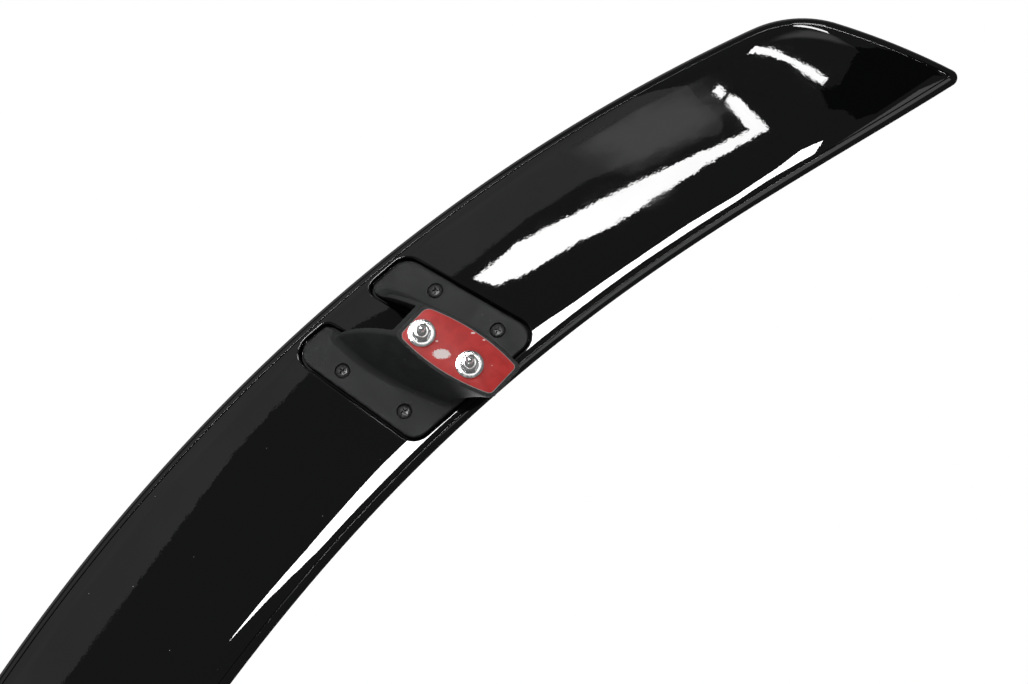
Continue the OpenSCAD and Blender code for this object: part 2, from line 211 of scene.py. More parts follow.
def front_point(x):
    t = span_t(x)
    return Vector((x, FRONT_APEX + FRONT_SWEEP * t + FRONT_CURL * t ** 2 - FRONT_EASE * t ** 3))


def end_point(s):
    """A point of the bowed end edge, from the rear corner at 0 to the tip at 1."""
    x = mix(HALF_SPAN, TIP_X, s) + 4 * END_BOW * s * (1 - s)
    return Vector((x, mix(rear_point(HALF_SPAN).y, front_point(TIP_X).y, s)))


def half_outline(d):
    """Right half of the wing's outline, d inside its edge: the rear side out to the middle of the
    tip, and the front side out to the same point, both with the same number of points."""
    rear_s = REAR_CORNER / (end_point(1) - end_point(0)).length
    tip_s = 1 - TIP_CORNER / (end_point(1) - end_point(0)).length
    rear_run = [rear_point(SPINE_X * i / STATIONS) for i in range(STATIONS + 1)]
    rear_run.append(rear_point(HALF_SPAN - REAR_CORNER))
    ends = [end_point(mix(rear_s, tip_s, i / 10)) for i in range(11)]
    front_steps = CAP_POINTS - 5
    start = TIP_X - TIP_CORNER
    front_run = [front_point(mix(start, SPINE_X, i / front_steps)) for i in range(front_steps + 1)]
    front_run += [front_point(SPINE_X * i / STATIONS) for i in range(STATIONS - 1, -1, -1)]
    line = rear_run + [end_point(0)] + ends + [end_point(1)] + front_run
    corner = len(rear_run)
    tip = corner + 1 + len(ends)
    rear_r = REAR_CORNER * tan(half_angle(line[corner], line[corner - 1], line[corner + 1]))
    tip_r = TIP_CORNER * tan(half_angle(line[tip], line[tip - 1], line[tip + 1]))
    line = moved_in(line, d, False)

    def rounding(i, radius, steps):
        a, b = line[i - 1], line[i + 1]
        reach = max(radius - d, 1) / tan(half_angle(line[i], a, b))
        return fillet(line[i], a, b, reach, steps)

    rear_arc = rounding(corner, rear_r, 14)
    tip_arc = rounding(tip, tip_r, 10)
    rear = line[:corner] + rear_arc + line[corner + 2:tip - 1] + tip_arc[:6]
    front = (tip_arc[5:] + line[tip + 2:])[::-1]
    rear[0].x = 0
    front[0].x = 0
    return rear, front


def flipped(p):
    return Vector((-p.x, p.y))


def whole_outline(d):
    """Whole outline, anticlockwise from the middle of the rear edge."""
    rear, front = half_outline(d)
    right = rear + front[-2::-1]
    return right + [flipped(p) for p in right[-2:0:-1]]


def under_z(p):
    """Height of the underside."""
    return SEAT_H - tan(PITCH) * p.y - ARCH * (span_t(p.x) - span_t(FOOT_X))


def crown_h(p, t):
    """Height of the top over the underside, at the share t of the way from the seam to the spine."""
    return EDGE_H + EDGE_RISE + CROWN * (1 - CROWN_TAPER * span_t(p.x)) * (1 - (1 - t) ** 2)


def spine_point(p):
    x = max(-SPINE_X, min(SPINE_X, p.x))
    return Vector((x, mix(rear_point(x).y, front_point(x).y, CROWN_PLACE)))


def rolled(amount, width, d):
    """How far the underside rolls up towards an edge, at the distance d inside the outline."""
    share = max(0, 1 - (d - SEAM_IN) / width)
    return amount * share ** 2


def ring(bm, points):
    """A closed loop of edges through the points."""
    verts = [bm.verts.new(p) for p in points]
    return [bm.edges.new((verts[i - 1], verts[i])) for i in range(len(verts))]


def bridged(bm, rings):
    """Faces between each ring and the next."""
    for a, b in zip(rings, rings[1:]):
        bmesh.ops.bridge_loops(bm, edges=a + b)


def capped(bm, rings):
    """Faces between each ring and the next, and over both ends."""
    bridged(bm, rings)
    bmesh.ops.contextual_create(bm, geom=rings[0])
    bmesh.ops.contextual_create(bm, geom=rings[-1])


def filled(bm, edges, normal):
    """Fills a loop, and leaves the loops inside it open."""
    bmesh.ops.triangle_fill(bm, use_beauty=True, use_dissolve=False, edges=edges, normal=normal)


def linked(name, data):
    """New object in the scene."""
    thing = bpy.data.objects.new(name, data)
    bpy.context.scene.collection.objects.link(thing)
    return thing


def as_mesh(bm, name):
    mesh = bpy.data.meshes.new(name)
    bm.to_mesh(mesh)
    bm.free()
    return mesh


def blank(bm, name):
    """Turns a mesh into an object that is still in millimetres."""
    bmesh.ops.remove_doubles(bm, verts=bm.verts, dist=0.002)
    bmesh.ops.recalc_face_normals(bm, faces=bm.faces)
    if bm.calc_volume(signed=True) < 0:
        bmesh.ops.reverse_faces(bm, faces=bm.faces)
    return linked(name, as_mesh(bm, name))


def in_metres(piece, smooth_angle=40):
    """Scales a finished mesh from millimetres, and shades it smooth between its sharp edges."""
    piece.data.transform(Matrix.Scale(MM, 4))
    piece.data.shade_smooth()
    piece.data.set_sharp_from_angle(angle=radians(smooth_angle))
    return piece


def finished(bm, name, smooth_angle=40):
    return in_metres(blank(bm, name), smooth_angle)


def seated(p, q, h):
    """A place on a foot's seat in the wing: p to the right, q forward and h into the wing."""
    turn = Matrix.Rotation(SEAT_ROLL, 3, "Y") @ Matrix.Rotation(-PITCH, 3, "X")
    return Vector((FOOT_X, 0, SEAT_H)) + turn @ Vector((p, q, h))


def rounded_loop(corners, off, steps=6):
    """Loop of corners (x, y, radius), moved outwards by off and rounded."""
    points = [Vector(c[:2]) for c in corners]
    moved = moved_in(points, -off, True)
    out = []
    for i, corner in enumerate(moved):
        a, b = moved[i - 1], moved[(i + 1) % len(moved)]
        outward = (corner - a).cross(b - corner) > 0
        radius = max(corners[i][2] + (off if outward else -off), 0.3)
        out += fillet(corner, a, b, radius / tan(half_angle(corner, a, b)), steps)
    return out


def lean(q):
    return FLANGE_TOE * (FLANGE_REAR - q) / (FLANGE_FRONT - FLANGE_REAR)


def end_line(q0, p):
    return q0 + FLANGE_SLANT * p


def seat_loop(off, steps=6):
    """Outline of the flange, with its two lobes and the notch between them, moved outwards by off."""
    mid = lean(FLANGE_FRONT)
    left, right = -NOTCH_OFF - NOTCH_W, -NOTCH_OFF + NOTCH_W
    corners = [
        (-FLANGE_REAR_W, end_line(FLANGE_REAR, -FLANGE_REAR_W), FLANGE_R),
        (left, end_line(FLANGE_REAR, left), LIP_R),
        (left, NOTCH_END, NOTCH_CORNER_R),
        (right, NOTCH_END, NOTCH_CORNER_R),
        (right, end_line(FLANGE_REAR, right), LIP_R),
        (FLANGE_REAR_W, end_line(FLANGE_REAR, FLANGE_REAR_W), FLANGE_R),
        (mid + FLANGE_FRONT_W, end_line(FLANGE_FRONT, mid + FLANGE_FRONT_W), FLANGE_R),
        (mid - FLANGE_FRONT_W, end_line(FLANGE_FRONT, mid - FLANGE_FRONT_W), FLANGE_R),
    ]
    return rounded_loop(corners, off, steps)


def screw_places():
    places = []
    for end, q in (("rear", SCREW_REAR), ("front", SCREW_FRONT)):
        for place, side in (("inner", -1), ("outer", 1)):
            p = side * SCREW_HALF + lean(q)
            places.append((f"{end}_{place}", p, end_line(q, p)))
    return places


def camera():
    """The camera looks up at the underside of the right half, as in the photograph."""
    data = bpy.data.cameras.new("camera")
    data.lens = 105.06
    data.sensor_width = 36
    data.clip_end = 50
    eye = linked("camera", data)
    eye.location = Vector((-63.9, 258.6, -1814.7)) * MM
    eye.rotation_euler = Euler((radians(-166.107), radians(0.871), radians(56.344)))
    bpy.context.scene.camera = eye


def inside(loop, p):
    """Whether a plan point lies inside a loop."""
    odd = False
    for a, b in zip(loop, loop[1:] + loop[:1]):
        if (a.y > p.y) != (b.y > p.y) and p.x < a.x + (p.y - a.y) / (b.y - a.y) * (b.x - a.x):
            odd = not odd
    return odd


def plan(p):
    """Plan place of a vertex."""
    return Vector((p[0], p[1]))


def lifted(p, h):
    return Vector((p.x, p.y, under_z(p) + h))


def skin_roll(p):
    """Roll of the underside at a plan point that is not near the ends."""
    x = abs(p.x)
    slope = (front_point(x + 1).y - front_point(x).y, rear_point(x + 1).y - rear_point(x).y)
    front_d = (front_point(x).y - p.y) * cos(atan(slope[0]))
    rear_d = (p.y - rear_point(x).y) * cos(atan(slope[1]))
    return max(rolled(FRONT_ROLL, FRONT_ROLL_W, front_d), rolled(REAR_ROLL, REAR_ROLL_W, rear_d))


def edge_rolls():
    """Roll at each point of the rear and the front side of half the outline."""
    share = [max(0, (i - STATIONS) / CAP_POINTS) for i in range(STATIONS + CAP_POINTS + 1)]
    return [mix(REAR_ROLL, FRONT_ROLL, s) for s in share], [FRONT_ROLL for s in share]


def edge_ring(bm, d, h, spread=1):
    """A ring d inside the outline and h over the underside, which rolls up by a share of its roll."""
    rear, front = edge_rolls()
    right = rear + front[-2::-1]
    rolls = right + right[-2:0:-1]
    return ring(bm, [lifted(p, h + r * spread) for p, r in zip(whole_outline(d), rolls)])


def across(d, rows):
    """Flat grid across the wing, d inside its outline: each vertex with its column, its station and
    its plan place."""
    bm = bmesh.new()
    rear, front = half_outline(d)
    last = STATIONS + CAP_POINTS
    grid = bmesh.ops.create_grid(bm, x_segments=2 * last, y_segments=rows, size=1)["verts"]
    places = []
    for v in grid:
        i = round(v.co.x * last)
        k = abs(i)
        share = (1 - cos(pi * (v.co.y + 1) / 2)) / 2
        places.append((v, i, k, mix(rear[k], front[k], share)))
    return bm, places, rear, front


def inward(line, k, turn):
    """Plan direction squarely into the wing at a point of one of its sides."""
    step = line[min(k + 1, len(line) - 1)] - line[max(k - 1, 0)]
    return turn * left_of(step.normalized())


def under_sheet():
    """The skin of the underside, without the pockets."""
    bm, places, rear, front = across(BORDER, 64)
    rear_rolls, front_rolls = edge_rolls()
    for v, i, k, p in places:
        rear_d = BORDER + (p - rear[k]).dot(inward(rear, k, 1))
        front_d = BORDER + (p - front[k]).dot(inward(front, k, -1))
        rear_w = mix(REAR_ROLL_W, FRONT_ROLL_W, max(0, (k - STATIONS) / CAP_POINTS))
        h = max(rolled(rear_rolls[k], rear_w, rear_d), rolled(front_rolls[k], FRONT_ROLL_W, front_d))
        v.co = lifted(p, h)
        v.co.x *= -1 if i < 0 else 1
    bmesh.ops.remove_doubles(bm, verts=bm.verts, dist=0.001)
    return bm


def pocket_place(side, p, h):
    """A place in the pocket of the foot on the given side."""
    q = seated(p.x, p.y, h)
    return Vector((q.x * side, q.y, q.z))


def pocket_line(side, off):
    """Plan outline of a pocket, off outside its foot's flange."""
    return [plan(pocket_place(side, p, 0)) for p in seat_loop(off)]


def pocket_rings(bm, side):
    """Rings of a pocket, from its rounded rim down the wall to the floor."""
    rim = [(RIM_R + 0.1, 0)]
    for i in range(RIM_STEPS + 1):
        a = radians(90) * i / RIM_STEPS
        rim.append((RIM_R * (1 - sin(a)), RIM_R * (1 - cos(a))))
    rings = [ring(bm, [lifted(p, h + skin_roll(p)) for p in pocket_line(side, SEAT_CLEAR + off)])
             for off, h in rim]
    for off, h in ((SEAT_CLEAR, SEAT_DEPTH - 0.5), (SEAT_CLEAR - 0.5, SEAT_DEPTH)):
        rings.append(ring(bm, [pocket_place(side, p, h) for p in seat_loop(off)]))
    return rings


def open_pocket(bm, side, border):
    """Cuts the pocket of one foot into the underside."""
    near = pocket_line(side, SEAT_CLEAR + RIM_R + 0.25)
    wide = pocket_line(side, SEAT_CLEAR + RIM_R + 9)
    gone = [f for f in bm.faces if any(inside(near, plan(v.co)) for v in f.verts)]
    bmesh.ops.delete(bm, geom=gone, context="FACES")
    ragged = [e for e in bm.edges if len(e.link_faces) == 1 and e not in border
              and inside(wide, plan((e.verts[0].co + e.verts[1].co) / 2))]
    rings = pocket_rings(bm, side)
    filled(bm, ragged + rings[0], (0, 0, -1))
    bridged(bm, rings)
    filled(bm, rings[-1], (0, 0, -1))


def skin_z(p):
    return under_z(p) + skin_roll(p)


def even_skin(piece):
    """Shades the skin round the pockets by its true slope, so that its long triangles do not show."""
    reach, near = 110, 0.04
    slopes = []
    for v in piece.data.vertices:
        p = plan(v.co / MM)
        if abs(abs(p.x) - FOOT_X) < reach and abs(skin_z(p) - v.co.z / MM) < near:
            dx, dy = [skin_z(p + step) - skin_z(p - step) for step in (Vector((0.5, 0)), Vector((0, 0.5)))]
            slopes.append(Vector((dx, dy, -1)).normalized())
        else:
            slopes.append(None)
    normals = []
    for face in piece.data.polygons:
        on_skin = face.normal.z < -0.9 and all(slopes[i] for i in face.vertices)
        normals += [slopes[i] if on_skin else Vector((0, 0, 0)) for i in face.vertices]
    piece.data.normals_split_custom_set(normals)
    return piece


def lower_shell():
    """Underside of the wing, with its edge turned up and a pocket for each foot."""
    bm = under_sheet()
    border = {e for e in bm.edges if len(e.link_faces) == 1}
    for side in (1, -1):
        open_pocket(bm, side, border)
    wall = [list(border), edge_ring(bm, BORDER - 0.15, 0.08), edge_ring(bm, BORDER - 0.2, 0.3)]
    wall.append(ring(bm, [lifted(p, SKIN - BOND_GAP) for p in whole_outline(BORDER - 0.2)]))
    bridged(bm, wall)
    inner = [wall[-1]]
    for side in (1, -1):
        off = SEAT_CLEAR + POCKET_WALL
        foot_ring = ring(bm, [lifted(p, SKIN - BOND_GAP) for p in pocket_line(side, off)])
        top = ring(bm, [pocket_place(side, p, SEAT_DEPTH + POCKET_FLOOR) for p in seat_loop(off)])
        bridged(bm, [foot_ring, top])
        filled(bm, top, (0, 0, 1))
        inner.append(foot_ring)
    filled(bm, sum(inner, []), (0, 0, 1))
    return even_skin(finished(bm, "lower_shell"))


def bezier(a, b, c, d, steps):
    """Points of a curve in the wing's edge section: distance inside the outline, and height."""
    knots = [Vector((*k, 0)) for k in (a, b, c, d)]
    return [(p.x, p.y) for p in interpolate_bezier(*knots, steps + 1)]


def edge_section():
    """Section of the wing's edge, from the seam round the edge to the top."""
    lip = 0.25
    top = EDGE_H + EDGE_RISE
    half = EDGE_H / 2
    under = bezier((SEAM_IN - lip - 0.06, 0), (2.2, 0), (0, 1.1), (0, half), 12)
    over = bezier((0, half), (0, 6.6), (2.4, 8.13), (SEAM_IN, top), 10)
    return [(SEAM_IN, lip), (SEAM_IN - lip * 0.3, lip * 0.3), (SEAM_IN - lip, 0)] + under + over[1:]


def upper_shell():
    """Top of the wing, wrapped round the edge to the seam in the underside."""
    bm = bmesh.new()
    rings = []
    ledge_d = SEAM_IN + SEAM_GAP + 4
    seam = whole_outline(SEAM_IN)
    spine = [spine_point(p) for p in whole_outline(0)]

    def crown_ring(t, drop):
        line = [mix(p, q, t) for p, q in zip(seam, spine)]
        return ring(bm, [lifted(p, crown_h(p, t) - drop) for p in line])

    rings.append(crown_ring(0.5, SKIN))
    rings.append(crown_ring(0.22, SKIN))
    rings.append(ring(bm, [lifted(p, SKIN) for p in whole_outline(ledge_d)]))
    rings.append(ring(bm, [lifted(p, SKIN) for p in seam]))
    for d, h in edge_section():
        spread = (1 + (SEAM_IN - d) / FRONT_ROLL_W) ** 2 * max(0, 1 - 2 * h / EDGE_H)
        rings.append(edge_ring(bm, d, h, spread))
    for t in (0.03, 0.08, 0.15, 0.23, 0.32, 0.42, 0.53, 0.64, 0.75, 0.86, 0.95, 1):
        rings.append(crown_ring(t, 0))
    bridged(bm, rings)
    filled(bm, rings[0], (0, 0, 1))
    return finished(bm, "upper_shell")


def with_modifiers(piece):
    """Makes a piece's modifiers part of its mesh."""
    graph = bpy.context.evaluated_depsgraph_get()
    mesh = bpy.data.meshes.new_from_object(piece.evaluated_get(graph))
    piece.modifiers.clear()
    piece.data = mesh
    return piece


def combined(piece, tool, operation):
    """Adds another piece to this one, or cuts it away."""
    change = piece.modifiers.new("combine", "BOOLEAN")
    change.operation = operation
    change.object = tool
    change.solver = "EXACT"
    with_modifiers(piece)
    bpy.data.objects.remove(tool)
    return piece


def wall_point(t, c, u, cut):
    """A plan point of the pedestal's section at the share t of its height, on the side c, at the
    share u of the way to its front, cut inside its face."""
    tx = t ** FLARE
    ty = 1 - max(0, 1 - t) ** LEAN_BACK
    bow = mix(PAD_BOW, ROOT_BOW, tx) * 4 * max(0, u) * (1 - u)
    x = mix(0, -NOTCH_OFF, tx) + c * (mix(PAD_W, NOTCH_W + WALL, tx) + bow - cut)
    rear = mix(PAD_REAR, ROOT_REAR, ty)
    front = mix(PAD_FRONT, ROOT_FRONT, ty) - cut
    return Vector((FOOT_X + x, mix(rear, front, u) + mix(PAD_SLANT, FLANGE_SLANT, ty) * x))


def section(t, cut, u0, u1, rear_r, front_r):
    """Rounded section of the pedestal, or of what is cut from it."""
    steps = 12
    us = [mix(u0, u1, i / steps) for i in range(1, steps)]

    def at(c, u):
        return wall_point(t, c, u, cut)

    return (
        fillet(at(1, u0), at(-1, u0), at(1, us[0]), rear_r, 5)
        + [at(1, u) for u in us]
        + fillet(at(1, u1), at(1, us[-1]), at(-1, u1), front_r, 5)
        + fillet(at(-1, u1), at(1, u1), at(-1, us[-1]), front_r, 5)
        + [at(-1, u) for u in us[::-1]]
        + fillet(at(-1, u0), at(-1, us[0]), at(1, u0), rear_r, 5)
    )


def seat_z(p):
    """Height of the plane of a foot's seat."""
    return SEAT_H - tan(PITCH) / cos(SEAT_ROLL) * p.y - tan(SEAT_ROLL) * (p.x - FOOT_X)


def loft(name, levels, cut, u0, lift):
    """Closed loft through the pedestal's sections, starting at the height lift."""
    bm = bmesh.new()
    rings = []
    for t in levels:
        line = section(t, cut, u0, 1, 2, 3)
        rings.append(ring(bm, [Vector((p.x, p.y, max(lift, mix(PAD_Z, seat_z(p) + ROOT_H, t))))
                               for p in line]))
    capped(bm, rings)
    return blank(bm, name)


def skirt():
    """Fillet between the pedestal and the flange."""
    bm = bmesh.new()
    rings = []
    height = SEAT_H + ROOT_H
    for i in range(7):
        a = radians(90) * i / 6
        t = 1 - (ROOT_H + FLANGE_T - SEAT_DEPTH + ROOT_R * (1 - sin(a))) / height
        line = moved_in(section(t, 0, 0, 1, 2, 3), -ROOT_R * (1 - cos(a)), True)
        rings.append(ring(bm, [Vector((p.x, p.y, mix(PAD_Z, seat_z(p) + ROOT_H, t))) for p in line]))
    rings.append(ring(bm, [Vector((p.x, p.y, seat_z(p) + ROOT_H)) for p in line]))
    capped(bm, rings)
    return blank(bm, "skirt")


def slab(name, loop, low, high, place):
    """Prism of a plan loop between two heights, each point put in place by place(p, h)."""
    bm = bmesh.new()
    rings = [ring(bm, [place(p, h) for p in loop]) for h in (low, high)]
    capped(bm, rings)
    return blank(bm, name)


def pin(name, radius, low, high, place, steps=40):
    """Plain round tool between two heights."""
    loop = [Vector((radius * cos(2 * pi * i / steps), radius * sin(2 * pi * i / steps)))
            for i in range(steps)]
    return slab(name, loop, low, high, place)


def tape_loop(off):
    """Outline of the tape on the pad, moved inwards by off."""
    length = PAD_FRONT - PAD_REAR - TAPE_RIM
    u0 = TAPE_END_RIM / length
    u1 = 1 - (TAPE_END_RIM - TAPE_RIM) / length
    return moved_in(section(0, TAPE_RIM, u0, u1, TAPE_R, 2.6), off, True)


def upright(p, h):
    return Vector((p.x, p.y, h))


def stud_place(end):
    return lambda p, h: Vector((STUD_X + p.x, end * STUD_PITCH / 2 + p.y, h))


def mirrored(piece, name):
    """The left-hand copy of a right-hand piece."""
    bm = bmesh.new()
    bm.from_mesh(piece.data)
    bmesh.ops.scale(bm, verts=bm.verts, vec=(-1, 1, 1))
    bmesh.ops.reverse_faces(bm, faces=bm.faces)
    mesh = piece.data.copy()
    mesh.name = name
    bm.to_mesh(mesh)
    bm.free()
    return linked(name, mesh)


def foot():
    """Right foot: a flange of two lobes on a hollow pedestal, softened all over as a moulding is."""
    levels = [i / 24 for i in range(25)]
    body = loft("foot_right_moulded", levels, 0, 0, 0)
    flange = slab("flange", seat_loop(0, 8), SEAT_DEPTH - FLANGE_T, SEAT_DEPTH,
                  lambda p, h: seated(p.x, p.y, h))
    combined(body, flange, "UNION")
    combined(body, skirt(), "UNION")
    hollow = loft("hollow", levels[2:] + [1.15], WALL, -0.4, PAD_Z + PAD_T)
    combined(body, hollow, "DIFFERENCE")
    for end in (-1, 1):
        combined(body, pin("boss", BOSS_R, PAD_Z + 1, RECESS_Z + INSERT_H + 2, stud_place(end)), "UNION")
    remesh = body.modifiers.new("remesh", "REMESH")
    remesh.mode = "VOXEL"
    remesh.voxel_size = FOOT_VOXEL
    soften = body.modifiers.new("soften", "SMOOTH")
    soften.factor = 0.5
    soften.iterations = 4
    with_modifiers(body)
    combined(body, slab("recess", tape_loop(0), PAD_Z - 2, PAD_Z + TAPE_RECESS, upright), "DIFFERENCE")
    for end in (-1, 1):
        combined(body, pin("bore", INSERT_R, RECESS_Z - 2, RECESS_Z + INSERT_H, stud_place(end)),
                 "DIFFERENCE")
    face = SEAT_DEPTH - FLANGE_T
    for _, p0, q0 in screw_places():
        def at(p, h, p0=p0, q0=q0):
            return seated(p0 + p.x, q0 + p.y, h)
        combined(body, pin("bore", BORE_R, face - 3, face + BORE_DEPTH, at), "DIFFERENCE")
        combined(body, pin("shank", SHANK_R + 0.3, face, SEAT_DEPTH + 1, at), "DIFFERENCE")
    return in_metres(body, 45)


def turned(name, profile, closed=False, steps=48):
    """Spins a profile of (radius, height) points round the upright axis."""
    bm = bmesh.new()
    verts = [bm.verts.new((r, 0, h)) for r, h in profile]
    edges = [bm.edges.new(pair) for pair in zip(verts, verts[1:])]
    if closed:
        edges.append(bm.edges.new((verts[-1], verts[0])))
    bmesh.ops.spin(bm, geom=verts + edges, cent=(0, 0, 0), axis=(0, 0, 1), dvec=(0, 0, 0),
                   angle=2 * pi, steps=steps, use_merge=True)
    return blank(bm, name)


def thread(core_r, crest_r, low, high, pitch):
    """A helical thread, to be joined to its core."""
    bm = bmesh.new()
    half, flat_half, root = 0.44 * pitch, 0.06 * pitch, core_r - 0.15
    tooth = ring(bm, [(root, 0, low - half), (crest_r, 0, low - flat_half),
                      (crest_r, 0, low + flat_half), (root, 0, low + half)])
    steps = round(24 * (high - low) / pitch)
    bmesh.ops.spin(bm, geom=list({v for e in tooth for v in e.verts}) + tooth, cent=(0, 0, 0),
                   axis=(0, 0, 1), dvec=(0, 0, pitch / 24), angle=2 * pi * (high - low) / pitch,
                   steps=steps, use_merge=False)
    bmesh.ops.holes_fill(bm, edges=[e for e in bm.edges if len(e.link_faces) == 1], sides=4)
    return blank(bm, "thread")


def threaded_stud():
    """Stud with its thread and a domed end, from inside the foot to below the nut."""
    core_r = STUD_R - 0.55 * THREAD_PITCH
    end_r = core_r * 0.85
    dome = [(end_r * cos(radians(a)), -STUD_LEN + end_r * 0.45 * (1 - sin(radians(a))))
            for a in range(0, 91, 15)]
    top = RECESS_Z + INSERT_H - 1
    core = turned("threaded_stud", dome[::-1] + [(core_r, -STUD_LEN + 2), (core_r, top), (0, top)])
    low, high = -STUD_LEN + 1.9, RECESS_Z + INSERT_H - 2
    return combined(core, thread(core_r, STUD_R, low, high, THREAD_PITCH), "UNION")


def flat_washer():
    """Punched washer, rounded on the side that faces the nut."""
    r, hole, low, soft, edge = WASHER_R, WASHER_HOLE, -WASHER_T, 0.45, 0.12
    profile = [(hole + soft, low), (r - soft, low), (r - soft * 0.3, low + soft * 0.3), (r, low + soft),
               (r, -edge), (r - edge, 0), (hole + edge, 0), (hole, -edge), (hole, low + soft),
               (hole + soft * 0.3, low + soft * 0.3)]
    return turned("flat_washer", profile, closed=True, steps=64)


def hex_nut():
    """Hexagon nut with its corners chamfered on both faces, and a countersunk bore."""
    low, high = -WASHER_T - NUT_H, -WASHER_T
    corner_r = NUT_W / 2 / cos(radians(30))
    bm = bmesh.new()
    start = Matrix.Translation((0, 0, low)) @ Matrix.Rotation(radians(20), 4, "Z")
    bmesh.ops.create_circle(bm, cap_ends=True, segments=6, radius=corner_r, matrix=start)
    grown = bmesh.ops.extrude_face_region(bm, geom=bm.faces[:])
    up = [g for g in grown["geom"] if isinstance(g, bmesh.types.BMVert)]
    bmesh.ops.translate(bm, verts=up, vec=(0, 0, high - low))
    nut = blank(bm, "hex_nut")
    far, slant = corner_r + 0.1, (corner_r + 0.1 - NUT_W / 2 + 0.15) * tan(radians(30))
    flat_r = NUT_W / 2 - 0.15
    barrel = [(0, low), (flat_r, low), (far, low + slant), (far, high - slant), (flat_r, high), (0, high)]
    combined(nut, turned("barrel", barrel, steps=96), "INTERSECT")
    sink = STUD_R + 0.25
    bore_r = STUD_R + 0.05
    bore = [(0, low - 1), (sink + 1, low - 1), (bore_r, low + sink - bore_r),
            (bore_r, high - sink + bore_r), (sink + 1, high + 1), (0, high + 1)]
    return combined(nut, turned("bore", bore, steps=64), "DIFFERENCE")


def cross_blade(turn):
    """One tapered blade of a screwdriver's cross."""
    bm = bmesh.new()
    bmesh.ops.create_cube(bm, size=1)
    for v in bm.verts:
        deep = v.co.z > 0
        v.co.x *= 2.1 if deep else 5.2
        v.co.y *= 0.75 if deep else 1.05
        v.co.z = -0.62 if deep else -HEAD_H - 0.2
    bmesh.ops.rotate(bm, verts=bm.verts, cent=(0, 0, 0), matrix=Matrix.Rotation(turn, 3, "Z"))
    return blank(bm, "blade")


def pan_screw(turn):
    """Pan-head screw with a cross recess, its head towards the deck."""
    rim = HEAD_H / 4
    head = [(HEAD_R * cos(radians(72 * i / 10)), -rim - (HEAD_H - rim) * sin(radians(9 * i)))
            for i in range(11)]
    core_r = SHANK_R - 0.5
    shank = [(HEAD_R, -0.15), (HEAD_R - 0.15, 0), (core_r, 0), (core_r, SCREW_LEN - 1.2),
             (0.4, SCREW_LEN), (0, SCREW_LEN)]
    screw = turned("pan_screw", [(0, -HEAD_H)] + head[::-1] + shank, steps=64)
    for a in (0, 90):
        combined(screw, cross_blade(turn + radians(a)), "DIFFERENCE")
    return combined(screw, thread(core_r, SHANK_R, 0.9, SCREW_LEN - 1.4, SCREW_PITCH), "UNION")


def band(name, off, low, high, soft):
    """Layer cut to the tape's outline, with softened edges and a hole round each stud."""
    bm = bmesh.new()
    steps = ((off + soft, low), (off + soft * 0.3, low + soft * 0.3), (off, low + soft),
             (off, high - soft), (off + soft * 0.3, high - soft * 0.3), (off + soft, high))
    rings = [ring(bm, [upright(p, h) for p in tape_loop(d)]) for d, h in steps]
    capped(bm, rings)
    layer = blank(bm, name)
    for end in (-1, 1):
        combined(layer, pin("hole", STUD_R + 0.4, low - 1, high + 1, stud_place(end)), "DIFFERENCE")
    return layer


def placed(piece, name, matrix):
    """A copy of a piece, moved to its place within its mesh."""
    mesh = piece.data.copy()
    mesh.transform(matrix)
    return in_metres(linked(name, mesh))


def seat_matrix(side, p, q, h):
    """Matrix of a place on the seat of the foot on one side."""
    turn = Matrix.Rotation(side * SEAT_ROLL, 4, "Y") @ Matrix.Rotation(-PITCH, 4, "X")
    return Matrix.Translation((side * FOOT_X, 0, SEAT_H)) @ turn @ Matrix.Translation((side * p, q, h))


SIDES = (("left", -1), ("right", 1))
ENDS = (("rear", -1), ("front", 1))


def fasteners():
    """Studs, nuts, washers and screws at their places, each over its CAD node."""
    placed_pieces = {}
    for kind, piece in (("stud", threaded_stud()), ("nut", hex_nut()), ("washer", flat_washer())):
        for side, s in SIDES:
            for end, e in ENDS:
                place = Matrix.Translation((s * STUD_X, e * STUD_PITCH / 2, 0))
                copy = placed(piece, f"{piece.name}_{side}_{end}", place)
                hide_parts(f"{kind}_{side}_{end}")
                placed_pieces.setdefault(kind, []).append(copy)
        bpy.data.objects.remove(piece)
    turns = (12, 55, 33, 78)
    under_head = SEAT_DEPTH - FLANGE_T + BORE_DEPTH
    for (place, p, q), turn in zip(screw_places(), turns):
        screw = pan_screw(radians(turn))
        for side, s in SIDES:
            copy = placed(screw, f"pan_screw_{side}_{place}", seat_matrix(s, p, q, under_head))
            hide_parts(f"foot_screw_{side}_{place}")
            placed_pieces.setdefault("screw", []).append(copy)
        bpy.data.objects.remove(screw)
    return placed_pieces


def tapes():
    """Foam tape and liner on both pads."""
    layers = {}
    for kind, name, off, low, high, soft in (
        ("foam_tape", "foam", 0, LINER_T, LINER_T + TAPE_T, 0.15),
        ("tape_liner", "liner", 0.35, 0, LINER_T, 0.05),
    ):
        right = in_metres(band(f"{name}_right", off, low, high, soft))
        left = mirrored(right, f"{name}_left")
        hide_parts(f"{kind}_right")
        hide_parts(f"{kind}_left")
        layers[kind] = [right, left]
    return layers


# Finishes


def new_material(name):
    """Empty material with an output, and its node tree."""
    material = bpy.data.materials.new(name)
    material.use_nodes = True
    tree = material.node_tree
    tree.nodes.clear()
    return material, tree, tree.nodes.new("ShaderNodeOutputMaterial")


def feed(tree, socket, value):
    """Gives a socket its value, which is another socket, a colour or a number."""
    if isinstance(value, tuple):
        socket.default_value = (*value, 1)
    elif isinstance(value, (int, float)):
        socket.default_value = value
    else:
        tree.links.new(value, socket)


def own_place(tree):
    return tree.nodes.new("ShaderNodeTexCoord").outputs["Object"]


